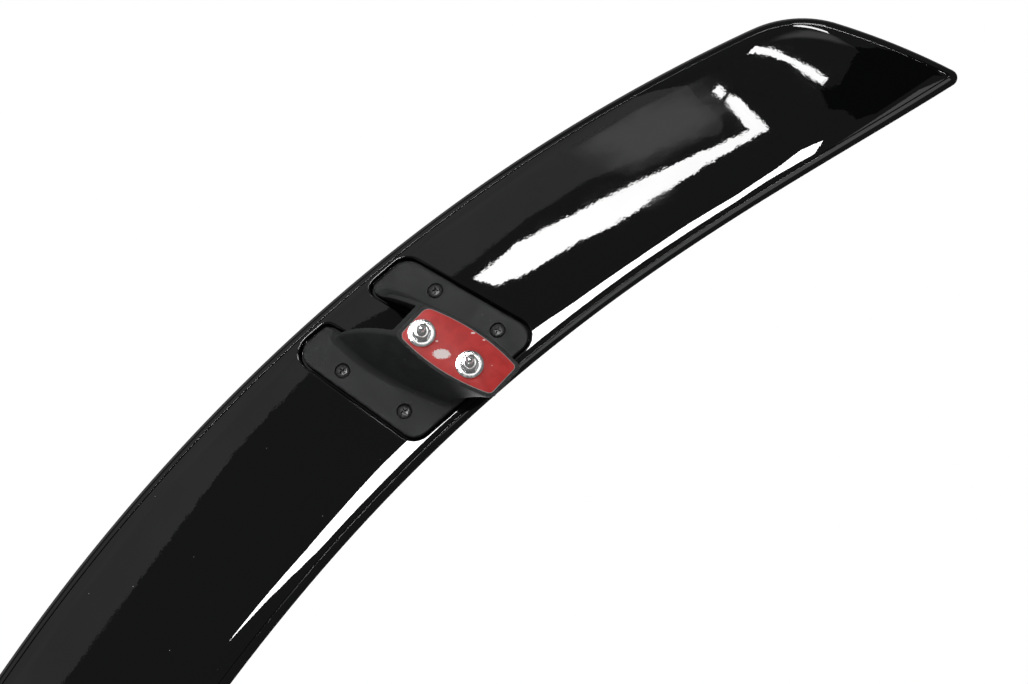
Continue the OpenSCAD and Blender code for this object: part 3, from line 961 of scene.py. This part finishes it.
def noise(tree, vector, scale, detail=3, rough=0.55):
    node = tree.nodes.new("ShaderNodeTexNoise")
    for name, value in (("Vector", vector), ("Scale", scale), ("Detail", detail), ("Roughness", rough)):
        feed(tree, node.inputs[name], value)
    return node.outputs["Fac"]


def stepped(tree, value, low, high, out_low=0, out_high=1):
    """Maps a value from one range to another, smoothly and clamped."""
    node = tree.nodes.new("ShaderNodeMapRange")
    node.interpolation_type = "SMOOTHSTEP"
    for name, number in (("Value", value), ("From Min", low), ("From Max", high),
                         ("To Min", out_low), ("To Max", out_high)):
        feed(tree, node.inputs[name], number)
    return node.outputs["Result"]


def maths(tree, operation, a, b):
    """Result of one sum on two values."""
    node = tree.nodes.new("ShaderNodeMath")
    node.operation = operation
    feed(tree, node.inputs[0], a)
    feed(tree, node.inputs[1], b)
    return node.outputs["Value"]


def mixed(tree, factor, a, b):
    """Mix of two colours."""
    node = tree.nodes.new("ShaderNodeMix")
    node.data_type = "RGBA"
    for i, value in ((0, factor), (6, a), (7, b)):
        feed(tree, node.inputs[i], value)
    return node.outputs[2]


def group_frame(name, inputs, outputs):
    """Node group with named number sockets."""
    group = bpy.data.node_groups.new(name, "ShaderNodeTree")
    for label, value in inputs.items():
        socket = group.interface.new_socket(name=label, in_out="INPUT", socket_type="NodeSocketFloat")
        socket.default_value = value
    for label in outputs:
        group.interface.new_socket(name=label, in_out="OUTPUT", socket_type="NodeSocketFloat")
    return group, group.nodes.new("NodeGroupInput").outputs, group.nodes.new("NodeGroupOutput").inputs


def grain_group():
    """Fine grain of a moulded or tumbled surface: its height, and a mask of broad patches."""
    sizes = {"Grain Size": 0.6, "Patch Size": 12}
    group, given, out = group_frame("fine_grain", sizes, ["Height", "Patches"])
    place = own_place(group)
    fine = noise(group, place, maths(group, "DIVIDE", 1 / MM, given["Grain Size"]), 4, 0.5)
    broad = noise(group, place, maths(group, "DIVIDE", 1 / MM, given["Patch Size"]), 2, 0.5)
    feed(group, out["Height"], fine)
    feed(group, out["Patches"], stepped(group, broad, 0.35, 0.65))
    return group


def wear_group():
    """Mask of rubbed edges, broken up by a fine pattern."""
    sizes = {"Edge Start": 0.52, "Edge End": 0.6, "Break Size": 3}
    group, given, out = group_frame("edge_wear", sizes, ["Mask"])
    sharp = group.nodes.new("ShaderNodeNewGeometry").outputs["Pointiness"]
    edge = stepped(group, sharp, given["Edge Start"], given["Edge End"])
    fine = noise(group, own_place(group), maths(group, "DIVIDE", 1 / MM, given["Break Size"]), 2, 0.5)
    feed(group, out["Mask"], maths(group, "MULTIPLY", edge, stepped(group, fine, 0.3, 0.6, 0.35, 1)))
    return group


def dust_group():
    """Mask of sparse specks of dust."""
    group, given, out = group_frame("dust_specks", {"Spacing": 9, "Speck Size": 0.35}, ["Mask"])
    cells = group.nodes.new("ShaderNodeTexVoronoi")
    feed(group, cells.inputs["Vector"], own_place(group))
    feed(group, cells.inputs["Scale"], maths(group, "DIVIDE", 1 / MM, given["Spacing"]))
    hue = group.nodes.new("ShaderNodeSeparateColor")
    feed(group, hue.inputs["Color"], cells.outputs["Color"])
    reach = maths(group, "DIVIDE", given["Speck Size"], given["Spacing"])
    size = maths(group, "MULTIPLY", reach, hue.outputs["Red"])
    near = maths(group, "LESS_THAN", cells.outputs["Distance"], size)
    some = maths(group, "GREATER_THAN", hue.outputs["Green"], 0.6)
    feed(group, out["Mask"], maths(group, "MULTIPLY", near, some))
    return group


GRAIN = grain_group()
WEAR = wear_group()
DUST = dust_group()


def use_group(tree, group, **values):
    """Places a group in a material with its own values, and returns its outputs."""
    node = tree.nodes.new("ShaderNodeGroup")
    node.node_tree = group
    for name, value in values.items():
        feed(tree, node.inputs[name.replace("_", " ")], value)
    return node.outputs


def bump(tree, height, distance, normal=None):
    """Bump of a height map, whose full height in metres is the distance."""
    node = tree.nodes.new("ShaderNodeBump")
    for name, value in (("Strength", 1), ("Distance", distance), ("Height", height)):
        feed(tree, node.inputs[name], value)
    if normal is not None:
        feed(tree, node.inputs["Normal"], normal)
    return node.outputs["Normal"]


def surface(tree, end, colour, rough, normal, metallic=0, specular=0.5):
    """Principled surface fed by a colour, a roughness and a normal."""
    shader = tree.nodes.new("ShaderNodeBsdfPrincipled")
    for name, value in (("Base Color", colour), ("Roughness", rough), ("Metallic", metallic),
                        ("Specular IOR Level", specular), ("Normal", normal)):
        feed(tree, shader.inputs[name], value)
    feed(tree, end.inputs["Surface"], shader.outputs["BSDF"])


def grained(name, sizes, colours, rough, height, worn=None, metallic=0):
    """Material with a fine grain, broad patches and, where worn holds the wear's range, its break
    size and its colour, rubbed edges."""
    material, tree, end = new_material(name)
    grain = use_group(tree, GRAIN, Grain_Size=sizes[0], Patch_Size=sizes[1])
    colour = mixed(tree, grain["Patches"], *colours)
    if worn:
        mask = use_group(tree, WEAR, Edge_Start=worn[0], Edge_End=worn[1], Break_Size=worn[2])["Mask"]
        colour = mixed(tree, mask, colour, worn[3])
    rough = stepped(tree, grain["Patches"], 0, 1, *rough)
    surface(tree, end, colour, rough, bump(tree, grain["Height"], height), metallic)
    return material


def gloss_black_paint():
    """Black lacquer with a faint orange peel, smears and a little dust."""
    material, tree, end = new_material("gloss_black_paint")
    place = own_place(tree)
    peel = noise(tree, place, 1 / (1.6 * MM), 1, 0.4)
    waves = noise(tree, place, 1 / (9 * MM), 1, 0.3)
    normal = bump(tree, waves, 5e-6, bump(tree, peel, 1.2e-6))
    specks = use_group(tree, DUST, Spacing=11, Speck_Size=0.5)["Mask"]
    colour = mixed(tree, specks, (0.0028, 0.003, 0.003), (0.12, 0.12, 0.12))
    smears = stepped(tree, noise(tree, place, 1 / (40 * MM), 3, 0.6), 0.45, 0.75, 0.008, 0.02)
    surface(tree, end, colour, maths(tree, "MAXIMUM", smears, maths(tree, "MULTIPLY", specks, 0.5)), normal)
    return material


def moulded_black():
    """Grained black moulding with rubbed edges and dust."""
    material, tree, end = new_material("moulded_black")
    grain = use_group(tree, GRAIN, Grain_Size=0.55, Patch_Size=16)
    worn = use_group(tree, WEAR, Edge_Start=0.53, Edge_End=0.6, Break_Size=2)["Mask"]
    specks = use_group(tree, DUST, Spacing=6, Speck_Size=0.45)["Mask"]
    base = mixed(tree, grain["Patches"], (0.0165, 0.0175, 0.018), (0.0198, 0.021, 0.0215))
    colour = mixed(tree, maths(tree, "MULTIPLY", worn, 0.6), base, (0.09, 0.092, 0.095))
    colour = mixed(tree, maths(tree, "MULTIPLY", specks, 0.6), colour, (0.2, 0.2, 0.2))
    rough = stepped(tree, grain["Patches"], 0, 1, 0.46, 0.56)
    surface(tree, end, colour, rough, bump(tree, grain["Height"], 6e-5), specular=0.2)
    return material


# Marks on the liner, from the pad's middle: the rubbed spot's place, half length and half width and
# turn, and the place and half length of each nick
SPOT = (-7.5, -0.4)
SPOT_SIZE = (5.6, 3.3)
SPOT_TURN = radians(57)
NICKS = ((14.6, 8.3, 1.4), (14.7, 16.5, 1), (-2.2, -7.4, 0.9))


def from_middle(tree, vector):
    """Distance of a place from the middle of its pattern."""
    length = tree.nodes.new("ShaderNodeVectorMath")
    length.operation = "LENGTH"
    feed(tree, length.inputs[0], vector)
    return length.outputs["Value"]


def oval(tree, place, x, y, half, width, turn):
    """Distance from the middle of an oval in plan, 1 at its edge."""
    mapping = tree.nodes.new("ShaderNodeMapping")
    mapping.vector_type = "TEXTURE"
    mapping.inputs["Location"].default_value = (x * MM, y * MM, 0)
    mapping.inputs["Rotation"].default_value = (0, 0, turn)
    mapping.inputs["Scale"].default_value = (half * MM, width * MM, 1)
    feed(tree, mapping.inputs["Vector"], place)
    return from_middle(tree, mapping.outputs["Vector"])


def red_liner():
    """Red film with fine threads, a rubbed spot, nicks and dust."""
    material, tree, end = new_material("red_liner")
    place = own_place(tree)
    worn = noise(tree, place, 1 / (1.1 * MM), 4, 0.7)
    pale = maths(tree, "MULTIPLY", use_group(tree, DUST, Spacing=5, Speck_Size=0.4)["Mask"], 0.5)
    ovals = [(*SPOT, *SPOT_SIZE, SPOT_TURN)] + [(x, y, r, r * 0.45, 1) for x, y, r in NICKS]
    for x, y, half, width, turn in ovals:
        edge = oval(tree, place, FOOT_X + x, y, half, width, turn)
        ragged = maths(tree, "ADD", edge, stepped(tree, worn, 0.3, 0.7, -0.16, 0.16))
        pale = maths(tree, "MAXIMUM", pale, stepped(tree, ragged, 0.85, 1.05, 1, 0))
    cloudy = use_group(tree, GRAIN, Grain_Size=0.25, Patch_Size=7)
    red = mixed(tree, cloudy["Patches"], (0.5, 0.012, 0.011), (0.59, 0.02, 0.017))
    threads = tree.nodes.new("ShaderNodeTexWave")
    threads.bands_direction = "DIAGONAL"
    for name, value in (("Vector", place), ("Scale", 1 / (2.2 * MM)), ("Distortion", 3)):
        feed(tree, threads.inputs[name], value)
    red = mixed(tree, maths(tree, "MULTIPLY", threads.outputs["Fac"], 0.16), red, (0.66, 0.09, 0.08))
    surface(tree, end, mixed(tree, pale, red, (0.86, 0.74, 0.72)), stepped(tree, worn, 0.3, 0.7, 0.4, 0.55),
            bump(tree, cloudy["Height"], 1e-5), specular=0.3)
    return material


def foam():
    return grained("foam", (0.35, 3), ((0.34, 0.32, 0.31), (0.46, 0.43, 0.42)), (0.9, 0.9), 8e-5)


def bright_zinc():
    return grained("bright_zinc", (0.3, 2.5), ((0.78, 0.79, 0.8), (0.86, 0.86, 0.85)), (0.14, 0.24), 2e-6,
                   (0.52, 0.62, 0.8, (0.93, 0.93, 0.92)), 1)


def black_screw():
    return grained("black_screw", (0.25, 1.5), ((0.016, 0.016, 0.017), (0.028, 0.028, 0.03)), (0.24, 0.4),
                   1e-5, (0.53, 0.62, 0.6, (0.1, 0.1, 0.105)))


def turned_brass():
    return grained("turned_brass", (0.2, 2), ((0.62, 0.45, 0.2), (0.72, 0.54, 0.26)), (0.25, 0.4), 6e-6,
                   metallic=1)


# Studio


def studio_world():
    """White behind the part for the camera. The part is lit, and mirrors, a plain studio instead."""
    world = bpy.data.worlds.new("studio")
    world.use_nodes = True
    bpy.context.scene.world = world
    tree = world.node_tree
    tree.nodes.clear()
    way = tree.nodes.new("ShaderNodeSeparateXYZ")
    feed(tree, way.inputs["Vector"], tree.nodes.new("ShaderNodeTexCoord").outputs["Generated"])
    ray = tree.nodes.new("ShaderNodeLightPath").outputs
    lit = stepped(tree, way.outputs["Y"], -0.9, 0.3, 1.1, 0.5)
    horizon = stepped(tree, way.outputs["Z"], -0.3, 0.05, 0.14, 0.8)
    mirrored_level = maths(tree, "MULTIPLY", horizon, stepped(tree, way.outputs["Z"], 0.1, 0.6, 1, 0.3))
    level = mixed(tree, ray["Is Glossy Ray"], lit, mirrored_level)
    glow = tree.nodes.new("ShaderNodeBackground")
    feed(tree, glow.inputs["Color"], mixed(tree, ray["Is Camera Ray"], level, (1, 1, 1)))
    end = tree.nodes.new("ShaderNodeOutputWorld")
    feed(tree, end.inputs["Surface"], glow.outputs["Background"])


# Heights of the lamps under and over the part
UNDER_Z = -1500
OVER_Z = 2200


def cleared(tree, end, shader, mask):
    """Surface that is see-through where the mask is 1."""
    clear = tree.nodes.new("ShaderNodeBsdfTransparent")
    choice = tree.nodes.new("ShaderNodeMixShader")
    for i, value in enumerate((mask, shader, clear.outputs["BSDF"])):
        feed(tree, choice.inputs[i], value)
    feed(tree, end.inputs["Surface"], choice.outputs["Shader"])


def floor():
    """Pale floor just under the studs. It is seen from above only, and lets all other light through."""
    bm = bmesh.new()
    bmesh.ops.create_grid(bm, x_segments=1, y_segments=1, size=40)
    bmesh.ops.translate(bm, verts=bm.verts, vec=(0, 0, -(STUD_LEN + 0.3) * MM))
    ground = linked("floor", as_mesh(bm, "floor"))
    material, tree, end = new_material("pale_floor")
    by_camera = tree.nodes.new("ShaderNodeLightPath").outputs["Is Camera Ray"]
    from_below = tree.nodes.new("ShaderNodeNewGeometry").outputs["Backfacing"]
    pale = tree.nodes.new("ShaderNodeBsdfDiffuse")
    feed(tree, pale.inputs["Color"], (0.9, 0.9, 0.9))
    unseen = maths(tree, "MAXIMUM", from_below, maths(tree, "SUBTRACT", 1, by_camera))
    cleared(tree, end, pale.outputs["BSDF"], unseen)
    ground.data.materials.append(material)


def lamp(name, place, size, brightness, turn=0, down=False):
    """Soft rectangular lamp of a given brightness. It faces up unless it hangs over the part, and
    its long side is turned in plan."""
    data = bpy.data.lights.new(name, "AREA")
    data.shape = "RECTANGLE"
    data.size, data.size_y = size[0] * MM, size[1] * MM
    data.energy = pi * data.size * data.size_y * brightness
    unit = linked(name, data)
    flip = Matrix.Identity(4) if down else Matrix.Rotation(pi, 4, "X")
    unit.matrix_world = (Matrix.Translation(Vector(place) * MM)
                         @ Matrix.Rotation(radians(turn), 4, "Z") @ flip)
    unit.visible_camera = False


# Plan outlines of what the underside mirrors: a tapered strip light with a hooked end, in its own
# place and turn, then a bowed one and a broken one along the front edge, with a grey wall towards
# the rear and a dark doorway beyond the tip
STRIP_START = (706, -1064)
STRIP_TURN = 36.3
STRIP_PANEL = (
    (-11, -12), (55, -28), (120, -25), (225, -19), (300, -12), (362, -4), (355, -30), (346, -61),
    (355, -66), (363, -55), (373, -26), (386, 8), (307, 8), (244, 14), (180, 19), (118, 16), (55, 19),
    (11, 12),
)
STRIP_END_MIDDLE = (1028, -921.5)
STRIP_END_TURN = 101.5
STRIP_END_PANEL = ((-8.5, -5.3), (8.5, -5.3), (8.5, 5.3), (-8.5, 5.3))
ARC_PANEL = (
    (1150, -985), (1100, -901), (1100, -861), (1094, -797), (1084, -799), (1091, -860), (1091, -885),
    (1085, -920),
)
EDGE_PANEL = (
    (180, -800), (225, -725), (275, -600), (620, -465), (705, -400), (745, -400), (780, -350),
    (845, -440), (850, -500), (800, -470), (745, -470), (710, -525), (660, -555), (605, -615),
    (585, -685), (400, -775), (290, -760), (225, -790),
)
GREY_WALL = (
    (-400, -1290), (400, -1255), (595, -1210), (705, -1120), (795, -1080), (880, -1025), (965, -940),
    (985, -900), (1000, -900), (1030, -995), (1105, -1190), (1180, -1500), (1500, -3000), (-400, -3000),
)
DOORWAY = (
    (1065, -780), (1080, -800), (1095, -780), (1250, -800), (1575, -870), (1700, -885), (1900, -800),
    (1900, -330), (870, -350), (890, -435), (1020, -675),
)


def swung(outline, place, turn):
    """Outline turned by so many degrees and moved to its place."""
    spin = Matrix.Rotation(radians(turn), 2)
    return [spin @ Vector(point) + Vector(place) for point in outline]


def mirrored_only(name, bm, material, place=Matrix.Identity(4)):
    """Puts a sheet in the scene that is seen in reflections only."""
    sheet = linked(name, as_mesh(bm, name))
    sheet.matrix_world = place
    sheet.data.materials.append(material)
    sheet.visible_camera = sheet.visible_diffuse = sheet.visible_shadow = False


def panel(name, outline, brightness, z=UNDER_Z):
    """Flat panel of a given outline."""
    bm = bmesh.new()
    bm.faces.new([bm.verts.new((x * MM, y * MM, z * MM)) for x, y in outline])
    bm.normal_update()
    bmesh.ops.triangulate(bm, faces=bm.faces)
    material, tree, end = new_material(name)
    glow = tree.nodes.new("ShaderNodeEmission")
    uneven = noise(tree, own_place(tree), 4)
    feed(tree, glow.inputs["Strength"], stepped(tree, uneven, 0.3, 0.7, brightness * 0.9, brightness * 1.1))
    feed(tree, end.inputs["Surface"], glow.outputs["Emission"])
    mirrored_only(name, bm, material)


def haze(name, place, size, turn, brightness):
    """Soft oval patch of light, with ragged edges."""
    bm = bmesh.new()
    bmesh.ops.create_grid(bm, x_segments=1, y_segments=1, size=1.3)
    material, tree, end = new_material(name)
    spot = own_place(tree)
    uneven = stepped(tree, noise(tree, spot, 1.3), 0.3, 0.7, -0.15, 0.15)
    ragged = maths(tree, "ADD", from_middle(tree, spot), uneven)
    glow = tree.nodes.new("ShaderNodeEmission")
    feed(tree, glow.inputs["Strength"], brightness)
    cleared(tree, end, glow.outputs["Emission"], stepped(tree, ragged, 0.35, 1))
    mirrored_only(name, bm, material,
                  Matrix.Translation(Vector(place) * MM) @ Matrix.Rotation(radians(turn), 4, "Z")
                  @ Matrix.Diagonal((size[0] * MM / 2, size[1] * MM / 2, 1, 1)))


def lamps():
    """Lit panels and dull walls mirrored in the underside, lamps for its end and for the washers,
    and one above."""
    for name, outline, brightness, behind in (
        ("strip_panel", swung(STRIP_PANEL, STRIP_START, STRIP_TURN), 26, 0),
        ("strip_end_panel", swung(STRIP_END_PANEL, STRIP_END_MIDDLE, STRIP_END_TURN), 26, 0),
        ("arc_panel", ARC_PANEL, 26, 0),
        ("edge_panel", EDGE_PANEL, 48, 0),
        ("doorway", DOORWAY, 0, 5),
        ("grey_wall", GREY_WALL, 0.56, 20),
    ):
        panel(name, outline, brightness, UNDER_Z - behind)
    haze("wall_haze", (960, -985, UNDER_Z - 10), (240, 120), 48, 1.3)
    haze("tip_haze", (1400, -960, UNDER_Z - 10), (560, 240), 170, 1.0)
    lamp("end_lamp", (1616, -1085, UNDER_Z), (180, 60), 22, 66)
    lamp("washer_lamp", (620, -95, UNDER_Z), (560, 390), 1.3)
    lamp("over_lamp", (0, 300, OVER_Z), (6000, 900), 2.2, down=True)


shells = [lower_shell(), upper_shell()]
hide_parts("wing_lower_shell")
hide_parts("wing_upper_shell")
feet = [foot()]
feet.append(mirrored(feet[0], "foot_left_moulded"))
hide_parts("foot_right")
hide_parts("foot_left")
metal = fasteners()
layers = tapes()
inserts = [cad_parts[f"insert_{side}_{end}"] for side, _ in SIDES for end, _ in ENDS]

for pieces, material, slot in (
    (shells, gloss_black_paint(), "paint"),
    (feet, moulded_black(), "foot"),
    (layers["foam_tape"], foam(), "tape"),
    (layers["tape_liner"], red_liner(), "liner"),
    (metal["stud"] + metal["nut"] + metal["washer"], bright_zinc(), "zinc"),
    (metal["screw"], black_screw(), "black_screw"),
    (inserts, turned_brass(), "brass"),
):
    for piece in pieces:
        piece.data.materials.clear()
        piece.data.materials.append(material)
        if piece not in inserts:
            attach(piece, "root")

studio_world()
floor()
lamps()
camera()
bpy.context.scene.view_settings.view_transform = "Standard"
